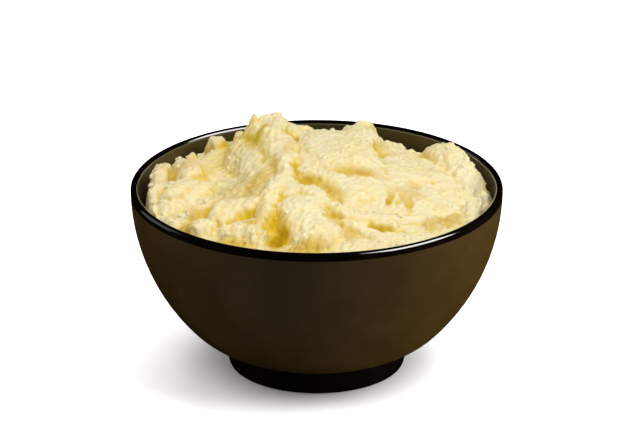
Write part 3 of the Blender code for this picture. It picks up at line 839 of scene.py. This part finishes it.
def kept_inside(surface):
    """Draws in any point that the relief pushed into the wall or over the lip."""
    radius = np.hypot(surface[..., 0], surface[..., 1])
    below = surface[..., 2] < BOWL_HEIGHT - LIP_RADIUS
    limit = np.where(below, wall_radius(surface[..., 2]), RIM_RADIUS - LIP_RADIUS)
    share = np.minimum(1.0, limit / np.maximum(radius, 1e-9))
    return surface * np.stack([share, share, np.ones_like(share)], axis=-1)


surface = kept_inside(with_relief(rough_surface))
print("with its lumps, the heap's top is at", round(surface[..., 2].max(), 1), "mm")

# %% [markdown]
# ## What each point knows about its place
# Four things are noted for every point of the heap, to paint shade into its colour by: how
# deep in a crease it lies, how much of the sky the heap round it hides, where the left flank
# is painted in shade, and where amber shade is painted in the hollows. The first two are
# measured on the finished heap, so the painted shade always follows the shape. Working them
# out here rather than with a node keeps them in the mesh.


# %% Measure creases and shelter
BEARINGS = ((1, 0), (2, 1), (1, 1), (1, 2), (0, 1), (-1, 2), (-1, 1), (-2, 1))
LOOKS = (1, 2, 3, 5, 8, 12, 18)  # how many steps along each bearing to look
FINE_ROUNDS, BROAD_ROUNDS = 8, 60  # more smoothing finds broader hollows


def shelter(surface):
    """How much of the sky each point loses to the heap round it: 0 none, 1 all."""
    count = surface.shape[0]
    lost = np.zeros((count, count))
    bearings = BEARINGS + tuple((-a, -b) for a, b in BEARINGS)
    for a, b in bearings:
        steepest = np.zeros((count, count))
        for step in LOOKS:
            i = np.clip(np.arange(count) + a * step, 0, count - 1)
            j = np.clip(np.arange(count) + b * step, 0, count - 1)
            leg = surface[np.ix_(i, j)] - surface
            run = np.maximum(np.hypot(leg[..., 0], leg[..., 1]), 0.3)
            steepest = np.maximum(steepest, leg[..., 2] / run)
        lost += steepest**2 / (1.0 + steepest**2)
    return lost / len(bearings)


def smoothed(surface, rounds):
    """Each round moves every point halfway to the middle of its four neighbours."""
    soft = surface.copy()
    for _ in range(rounds):
        inner = soft[:-2, 1:-1] + soft[2:, 1:-1] + soft[1:-1, :-2] + soft[1:-1, 2:]
        soft[1:-1, 1:-1] = 0.5 * soft[1:-1, 1:-1] + 0.125 * inner
    return soft


def hollowness(surface, rounds):
    """How far each point lies under a smoothed copy of the surface, in millimetres."""
    return ((smoothed(surface, rounds) - surface) * surface_normals(surface)).sum(-1)


fine_hollow = hollowness(surface, FINE_ROUNDS)
broad_hollow = hollowness(surface, BROAD_ROUNDS)
sheltered = smoothed(shelter(surface)[..., None], 2)[..., 0]
print("deepest crease", fine_hollow.max().round(2), "and", broad_hollow.max().round(2), "mm")
print("shelter from", sheltered.min().round(2), "to", sheltered.max().round(2), end="; ")
print("middle", np.median(sheltered).round(2), "upper tenth", np.quantile(sheltered, 0.9).round(2))

# %% [markdown]
# ## Painted shade on the flank and in the hollows
# The colour is darkened where the heap lies in shade: to olive gold on the shaded left flank,
# and to amber in valleys, pits, under the lobes and along the front at the lip. This painted
# shade has no shape of its own: each place is an oval on the plan, which fades at its edge.
# The strength says how dark the shade is painted, and above 1 it turns a deeper amber.

# %% Places of painted shade
# x, y, half length, half width, turn, strength
PAINTED_FLANK_SHADE_PLACES = (
    (-29, -17, 13, 11, 84, 1.0),
    (-43, 20, 15, 8, 60, 0.7),
)
# the same, for the painted amber shade in the hollows and along the lip
PAINTED_AMBER_SHADE_PLACES = (
    (-14, -53.5, 8.5, 4.4, 80, 1.3),
    (-4, -61, 9, 4.0, 0, 0.8),
    (6, -43.5, 6, 3.0, -50, 0.55),
    (12, -51.5, 5, 3.0, -50, 0.65),
    (-2, -19.5, 7, 3.0, -34, 0.9),
    (5.5, -26.5, 8, 3.0, -52, 0.75),
    (-9, 17, 4, 1.8, 80, 0.7),
    (-10.5, 3, 7, 2.0, 80, 0.35),
    (14.5, -13.5, 9, 4.0, -5, 0.8),
    (26, 12, 6, 2.5, -10, 0.4),
    (27, -26, 6, 1.4, 88, 0.6),
    (33, -27, 6, 1.6, 105, 0.6),
    (36, -14, 4, 3.0, 80, 0.4),
    (34, -21, 7, 4.0, 0, 0.45),
    (23, 12, 6, 2.4, 85, 0.3),
    (45, 0, 6, 1.4, -15, 0.3),
    (24.5, -46.2, 4.5, 1.6, 0, 0.9),
    (48.5, -35, 7, 3.4, 35, 0.7),
    (41.7, -41, 3, 3.0, 0, 0.6),
    (-20.5, 19, 3.6, 2.6, 20, 0.9),
    (-21.5, -15, 10, 4.0, 72, 0.5),
    (-24, -43, 3.0, 2.2, 0, 0.8),
    (-20.5, -40, 9, 2.5, 85, 0.35),
    (-37.5, -41, 3, 1.4, 20, 0.5),
    (-57, 12, 5, 4.0, 0, 0.3),
    (-50, 9, 6, 3.0, -40, 0.35),
    (-47.5, -39.5, 6, 3.6, 40, 0.85),
    (-30, -55.5, 9, 3.0, -24, 0.8),
    (-49.5, -44, 8, 2.6, -48, 0.8),
    (-45, -33, 4.5, 2.5, 60, 0.7),
)
# painted shade from the shelter is halved in this oval
FLANK_WITH_LESS_PAINTED_SHADE = (-32, 6, 10, 8, 80)  # an oval: the middle of the smooth left flank stays pale


def strongest(places):
    """The strongest of all the ovals at each point, so that overlaps don't add up."""
    strengths = [strength * near_oval(surface, *oval) for *oval, strength in places]
    return np.max(strengths, axis=0)


# painted amber shade: the strongest oval at each point
painted_amber_shade = strongest(PAINTED_AMBER_SHADE_PLACES)
outer = smooth_step(46.0, 60.0, np.hypot(surface[..., 0], surface[..., 1]))
# the shelter is painted as golden shade: weaker towards the wall and in the middle of the flank
sheltered *= 1.0 - 0.6 * outer  # towards the wall, creases stay paler
sheltered *= 1.0 - 0.5 * near_oval(surface, *FLANK_WITH_LESS_PAINTED_SHADE)
SKIN_VALUES = {
    "crease": np.maximum(fine_hollow, 0.6 * broad_hollow),
    "shelter": sheltered,
    "painted_flank_shade": strongest(PAINTED_FLANK_SHADE_PLACES),
    "painted_amber_shade": painted_amber_shade,
}
print("butter lies on", round(100 * (painted_amber_shade > 0.5).mean()), "per cent of the points")

# %% [markdown]
# ## The mash as one body
# The heap's skin is closed down inside the bowl, a hair clear of the glaze, so the mash is
# one solid thing that could be lifted out. Nobody sees that part, so it is left plain.


# %% Close the body
BODY_RINGS = 10


def rim_loop(count):
    """Indices of the grid's outer points, in order round the bowl."""
    index = np.arange(count * count).reshape(count, count)
    sides = [index[:-1, 0], index[-1, :-1], index[:0:-1, -1], index[0, :0:-1]]
    return np.concatenate(sides)


def build_mash(material):
    index = np.arange(GRID * GRID).reshape(GRID, GRID)
    quads = np.stack([index[:-1, :-1], index[1:, :-1], index[1:, 1:], index[:-1, 1:]], axis=-1)
    faces = quads.reshape(-1, 4).tolist()
    points = surface.reshape(-1, 3)
    loop = rim_loop(GRID)
    top = points[loop]
    bearing = np.arctan2(top[:, 1], top[:, 0])
    floor = wall_heights[0]
    last = loop.tolist()
    for ring in range(1, BODY_RINGS + 1):
        drop = math.sin(0.5 * math.pi * ring / BODY_RINGS)
        height = top[:, 2] + (floor - top[:, 2]) * drop
        radius = wall_radius(height)
        start = len(points)
        ring_points = np.stack([radius * np.cos(bearing), radius * np.sin(bearing), height], -1)
        points = np.concatenate([points, ring_points])
        here = list(range(start, start + len(loop)))
        for i in range(len(loop)):
            j = (i + 1) % len(loop)
            faces.append([last[j], last[i], here[i], here[j]])
        last = here
    faces.append(last[::-1])
    piece = make_piece("mashed_potato_heap", points, faces, material)
    for name, values in SKIN_VALUES.items():
        note_values(piece, name, np.pad(values.reshape(-1), (0, len(points) - GRID * GRID)))
    return piece


# %% [markdown]
# ## The look of mash
# Butter and milk make mash cream on its open faces. In a crease light goes from wall to
# wall and picks up colour at every bounce; here that golden glow is painted shade in the
# colour, by how deep a crease lies and how much sky it loses, and the ovals above paint
# amber shade in the hollows. Light also sinks in a little way, which softens every shadow,
# and the moist surface has a faint broad shine. The noted values reach the material through
# Attribute nodes. Painting them by hand would work too, but would have to be done again
# after every change of shape.


# %% The mash material
CREAM = (0.93, 0.82, 0.51)
PALE_CREAM = (0.96, 0.87, 0.64)
# colour of the painted shade on the shaded left flank
PAINTED_FLANK_SHADE_COLOUR = (0.80, 0.66, 0.32)
# gold of the random flecks, and of the painted shade in creases
FLECK_AND_PAINTED_SHADE_GOLD = (0.80, 0.60, 0.04)
# painted amber shade in the hollows, and a darker painted shade where it is strongest
PAINTED_AMBER_SHADE_GOLD = (0.69, 0.465, 0.007)
DEEPEST_PAINTED_SHADE = (0.50, 0.29, 0.001)
GLOW = 0.4  # share of the light that sinks in before it comes back
GLOW_REACH = (1.0, 0.65, 0.14)  # red light travels furthest in it, and blue least
# how broad each effect is, in millimetres
PALE_PATCHES, GOLD_FLECKS, WETNESS, FINE_GRAIN = 9.0, 4.5, 2.0, 0.8


def skin_value(nodes, name):
    return add_node(nodes, "ShaderNodeAttribute", attribute_name=name).outputs["Fac"]


def make_mash(name):
    material, nodes, links = new_material(name)
    shader = nodes["Principled BSDF"]
    patches = ranged(nodes, links, noise_node(nodes, links, PALE_PATCHES, 4.0, 0.6), 0.35, 0.7)
    colour = mixed_colour(nodes, links, patches, CREAM, PALE_CREAM)
    # painted shade: the shaded left flank turns olive gold
    flank_shade_share = ranged(nodes, links, skin_value(nodes, "painted_flank_shade"), 0.0, 1.0, 0.0, 0.75)
    colour = mixed_colour(nodes, links, flank_shade_share, colour, PAINTED_FLANK_SHADE_COLOUR)
    # painted shade: golden where a crease is deep or the heap round hides the sky
    deep = ranged(nodes, links, skin_value(nodes, "shelter"), 0.06, 0.42)
    fine = ranged(nodes, links, skin_value(nodes, "crease"), 0.05, 0.35, 0.0, 0.5)
    depth = higher(nodes, links, deep, fine)
    flecks = noise_node(nodes, links, GOLD_FLECKS, 4.0, 0.65)
    flecks = ranged(nodes, links, flecks, 0.5, 0.8, 0.0, 0.35)
    colour = mixed_colour(nodes, links, flecks, colour, FLECK_AND_PAINTED_SHADE_GOLD)
    colour = mixed_colour(nodes, links, depth, colour, FLECK_AND_PAINTED_SHADE_GOLD)
    # painted shade: amber in valleys, pits and along the lip, darkest where strongest
    colour = mixed_colour(nodes, links, skin_value(nodes, "painted_amber_shade"), colour, PAINTED_AMBER_SHADE_GOLD)
    deepest_shade_share = ranged(nodes, links, skin_value(nodes, "painted_amber_shade"), 0.85, 1.3)
    colour = mixed_colour(nodes, links, deepest_shade_share, colour, DEEPEST_PAINTED_SHADE)
    links.new(colour, shader.inputs["Base Color"])
    wet = ranged(nodes, links, noise_node(nodes, links, WETNESS, 4.0), 0.3, 0.7, 0.42, 0.62)
    links.new(wet, shader.inputs["Roughness"])
    add_bump(nodes, links, shader, 0.5, 0.3, noise_node(nodes, links, FINE_GRAIN, 5.0, 0.65))
    set_inputs(shader, Subsurface_Weight=GLOW, Subsurface_Radius=GLOW_REACH)
    set_inputs(shader, Subsurface_Scale=0.9 * MM)
    return material


mash = build_mash(make_mash("mashed_potato"))
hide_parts("mashed_potato")
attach(mash, "root")

# %% [markdown]
# ## Loose crumbs
# Where the masher missed, the potato broke into crumbs, which lie loose on the heap, most of
# them near the edge and in patches, and hardly any where amber shade is painted in the
# creases. Each is a little ball with its own lumps, half sunk into the mash, and it takes a
# smaller share of the heap's painted shade. They are one joined mesh, so that they stay
# where they fell.


# %% Loose crumbs
CRUMBS = 360
CRUMB_RADIUS = (0.5, 1.4)
CRUMB_FLANK = (-32, 8, 24, 9, 80)  # an oval: a few crumbs lie along the left flank too
WALL_CLEARANCE = 1.5
# crumbs stand out of the creases, so they take this smaller share of the painted shade
CRUMB_SHARE_OF_PAINTED_SHADE = 0.4  # crumbs stand out of the creases, so they take less of their colour


def rough_balls(centres, radii, rng):
    """Small lumpy balls as one set of points and faces, and how many points each has."""
    mesh = bmesh.new()
    bmesh.ops.create_icosphere(mesh, subdivisions=1, radius=1.0)
    ball = np.array([vertex.co[:] for vertex in mesh.verts])
    ball_faces = np.array([[vertex.index for vertex in face.verts] for face in mesh.faces])
    mesh.free()
    points, faces = [], []
    for number, (centre, radius) in enumerate(zip(centres, radii)):
        stretch = rng.uniform(0.75, 1.25, 3)
        turn = Euler(rng.uniform(0.0, math.tau, 3).tolist()).to_matrix()
        lumps = 1.0 + 0.3 * noise_at(ball * 1.3, 1.0, number)
        shape = (ball * stretch * lumps[:, None]) @ np.array(turn)
        faces.append(ball_faces + number * len(ball))
        points.append(centre + radius * shape)
    return np.concatenate(points), np.concatenate(faces).tolist(), len(ball)


def scatter_crumbs(material):
    rng = np.random.default_rng(11)
    flat = surface.reshape(-1, 3)
    radius = np.hypot(flat[:, 0], flat[:, 1])
    patches = noise_at(flat, 9.0, 21)
    # in patches and towards the wall
    weight = np.clip(0.15 + 0.9 * patches, 0.02, 1.0) * (0.3 + smooth_step(45.0, 60.0, radius))
    weight += 0.2 * near_oval(surface, *CRUMB_FLANK).reshape(-1)
    # on bulges more than in creases, clear of the wall, and not where amber shade is painted
    weight *= 0.3 + np.clip(-fine_hollow.reshape(-1) / 0.15, 0.0, 1.5)
    weight *= radius < edge.reshape(-1) - WALL_CLEARANCE
    weight *= 1.0 - np.clip(2.0 * painted_amber_shade.reshape(-1), 0.0, 1.0)
    chosen = rng.choice(len(flat), CRUMBS, replace=False, p=weight / weight.sum())
    low, high = CRUMB_RADIUS
    radii = low + (high - low) * rng.random(CRUMBS) ** 2.5
    normal = surface_normals(surface).reshape(-1, 3)[chosen]
    centres = flat[chosen] + normal * (radii * rng.uniform(-0.6, -0.1, CRUMBS))[:, None]
    points, faces, per_ball = rough_balls(centres, radii, rng)
    crumbs = make_piece("potato_crumbs", points, faces, material)
    for name, values in SKIN_VALUES.items():
        note_values(crumbs, name, np.repeat(CRUMB_SHARE_OF_PAINTED_SHADE * values.reshape(-1)[chosen], per_ball))
    return crumbs


crumbs = scatter_crumbs(make_mash("mashed_potato_crumbs"))
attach(crumbs, "root")

# %% [markdown]
# ## The table and the room
# A white table stands under the bowl, bright enough that only the shade close round the
# foot shows. A white shell stands round everything, which only the camera sees, so there is
# no horizon. The table casts no shade on the bowl, so that low lights reach it, and neither
# table nor room mirrors in the glaze, as in a studio where black cloths keep a dark gloss
# dark.


# %% Table and room
ROOM_LIGHT = 0.18
ROOM_TINT = (1.0, 0.92, 0.74, 1.0)
TABLE_HALF = 2400.0  # millimetres from the middle of the table to its sides
SHELL_RADIUS = 2300.0  # also in millimetres
SHELL_RINGS = 8
SHELL_SEGMENTS = 48
TABLE_WHITES = ((0.9, 0.9, 0.9), (0.92, 0.92, 0.92))


def make_shell_white():
    material, nodes, _ = new_material("backdrop_white")
    shader = nodes["Principled BSDF"]
    set_inputs(shader, Base_Color=(0.0, 0.0, 0.0, 1.0), Specular_IOR_Level=0.0)
    set_inputs(shader, Emission_Color=(1.0, 1.0, 1.0, 1.0), Emission_Strength=1.0)
    return material


def build_table():
    material, nodes, links = new_material("table_white")
    shader = nodes["Principled BSDF"]
    set_inputs(shader, Roughness=0.9, Specular_IOR_Level=0.0)
    tone = ranged(nodes, links, noise_node(nodes, links, 60.0), 0.0, 1.0)
    white = mixed_colour(nodes, links, tone, *TABLE_WHITES)
    links.new(white, shader.inputs["Base Color"])
    half = TABLE_HALF
    corners = [(-half, -half, 0), (half, -half, 0), (half, half, 0), (-half, half, 0)]
    table = make_piece("table", corners, [(0, 1, 2, 3)], material)
    table.visible_glossy = False
    table.visible_shadow = False
    return table


def build_backdrop():
    """Half a ball, turned like the bowl, with a flat cap at its top."""
    turns = np.linspace(0.0, math.pi / 2, SHELL_RINGS, endpoint=False).tolist()
    shell = [SHELL_RADIUS * Vector((math.cos(turn), math.sin(turn))) for turn in turns]
    points = turned_points(shell, SHELL_SEGMENTS)
    cap = list(range(len(points) - SHELL_SEGMENTS, len(points)))
    faces = ring_faces(SHELL_RINGS, SHELL_SEGMENTS) + [cap]
    backdrop = make_piece("backdrop", points, faces, make_shell_white())
    backdrop.visible_diffuse = False
    backdrop.visible_glossy = False
    backdrop.visible_transmission = False
    backdrop.visible_shadow = False
    return backdrop


table = build_table()
build_backdrop()
world = bpy.data.worlds.new("white_room")
bpy.context.scene.world = world
world.use_nodes = True
set_inputs(world.node_tree.nodes["Background"], Color=ROOM_TINT, Strength=ROOM_LIGHT)
world.cycles_visibility.glossy = False

# %% [markdown]
# ## The lights
# Each light is a soft box that reaches only the pieces it is meant for, as flags and cloths
# do in a studio. One wide box to the right draws the bright streaks on the lip. Three
# others, to the right, above and to the left, shape the mash. Four light only the table,
# which keeps its shade soft. The rest graze the bowl from the sides and warm its brown. Only
# the faintest of those is mirrored in the glaze, so that the streaks stand alone on it.


# %% Lights
WHITE = (1.0, 1.0, 1.0)
WARM_WHITE = (1.0, 0.95, 0.85)
# name, bearing and rise in degrees, distance, width and height in metres, radiance, tint
STREAK_LIGHT = ("streak_box", 70, 40, 2.0, 1.7, 1.3, 5.0, (1.0, 0.985, 0.96))
MASH_LIGHTS = (
    ("key_box", 52, 42, 2.0, 2.2, 1.8, 1.74, (1.0, 0.985, 0.94)),
    ("top_box", 0, 80, 2.0, 3.0, 3.0, 1.1, (1.0, 0.965, 0.89)),
    ("fill_box", -35, 35, 2.2, 3.0, 3.0, 0.3, (1.0, 0.88, 0.62)),
)
# bearing, rise, radiance
TABLE_LIGHTS = ((75, 50, 8.5), (-75, 52, 3.5), (0, 48, 1.5), (180, 65, 4.5))
# bearing, rise, radiance, and whether the glaze mirrors it
EDGE_LIGHTS = (
    (-112, 12, 0.25, True),
    (92, -5, 30.0, False),
    (88, 32, 5.0, False),
    (-84, 6, 4.0, False),
    (-84, 32, 8.0, False),
    (126, 4, 18.0, False),
    (-126, 14, 8.0, False),
    (55, -38, 5.0, False),
)


def soft_box(name, bearing, rise, distance, width, height, radiance, tint):
    """A soft box aimed at the bowl; bearing is degrees to the right of the diner's side."""
    light = bpy.data.lights.new(name, "AREA")
    light.shape = "RECTANGLE"
    light.size = width
    light.size_y = height
    light.energy = radiance * math.pi * width * height
    light.color = tint
    lamp = bpy.data.objects.new(name, light)
    bpy.context.scene.collection.objects.link(lamp)
    side = math.radians(bearing)
    up = math.radians(rise)
    away = Vector((math.sin(side) * math.cos(up), -math.cos(side) * math.cos(up), math.sin(up)))
    target = Vector((0.0, 0.0, BOWL_HEIGHT * MM))
    lamp.location = target + away * distance
    lamp.rotation_euler = (-away).to_track_quat("-Z", "Y").to_euler()
    lamp.visible_camera = False
    return lamp


def lights_only(lamp, pieces):
    """Keeps a lamp's light on some pieces, as a flag does beside a studio lamp."""
    group = bpy.data.collections.new(lamp.name + "_reach")
    for piece in pieces:
        group.objects.link(piece)
    lamp.light_linking.receiver_collection = group


lights_only(soft_box(*STREAK_LIGHT), (bowl,))
for settings in MASH_LIGHTS:
    lamp = soft_box(*settings)
    lamp.visible_glossy = False
    lights_only(lamp, (mash, crumbs))
for number, (bearing, rise, radiance) in enumerate(TABLE_LIGHTS):
    lamp = soft_box(f"table_light_{number}", bearing, rise, 3.0, 2.4, 2.4, radiance, WHITE)
    lights_only(lamp, (table,))
for number, (bearing, rise, radiance, mirrored) in enumerate(EDGE_LIGHTS):
    lamp = soft_box(f"edge_light_{number}", bearing, rise, 2.0, 1.2, 1.6, radiance, WARM_WHITE)
    lamp.visible_glossy = mirrored
    lights_only(lamp, (bowl,))
print(len(bpy.data.lights), "soft boxes")

# %% [markdown]
# ## The camera
# A long lens from far off, as food is often pictured: it looks down at the bowl by about 22
# degrees, and near and far edges keep nearly the same size.

# %% Camera
LENS = 242.15  # millimetres
SENSOR_WIDTH = 36.0
VIEW_RISE = math.radians(21.84)
VIEW_DISTANCE = 1.6  # metres, as for the target
VIEW_TARGET = Vector((-0.00045, 0.0, 0.0570))

camera_data = bpy.data.cameras.new("camera")
camera_data.lens = LENS
camera_data.sensor_width = SENSOR_WIDTH
camera = bpy.data.objects.new("camera", camera_data)
bpy.context.scene.collection.objects.link(camera)
towards_camera = Vector((0.0, -math.cos(VIEW_RISE), math.sin(VIEW_RISE)))
camera.location = VIEW_TARGET + VIEW_DISTANCE * towards_camera
camera.rotation_euler = (-towards_camera).to_track_quat("-Z", "Y").to_euler()
bpy.context.scene.camera = camera
bpy.context.scene.view_settings.view_transform = "Standard"
print("the camera is", VIEW_DISTANCE, "m away and", round(camera.location.z, 2), "m up")
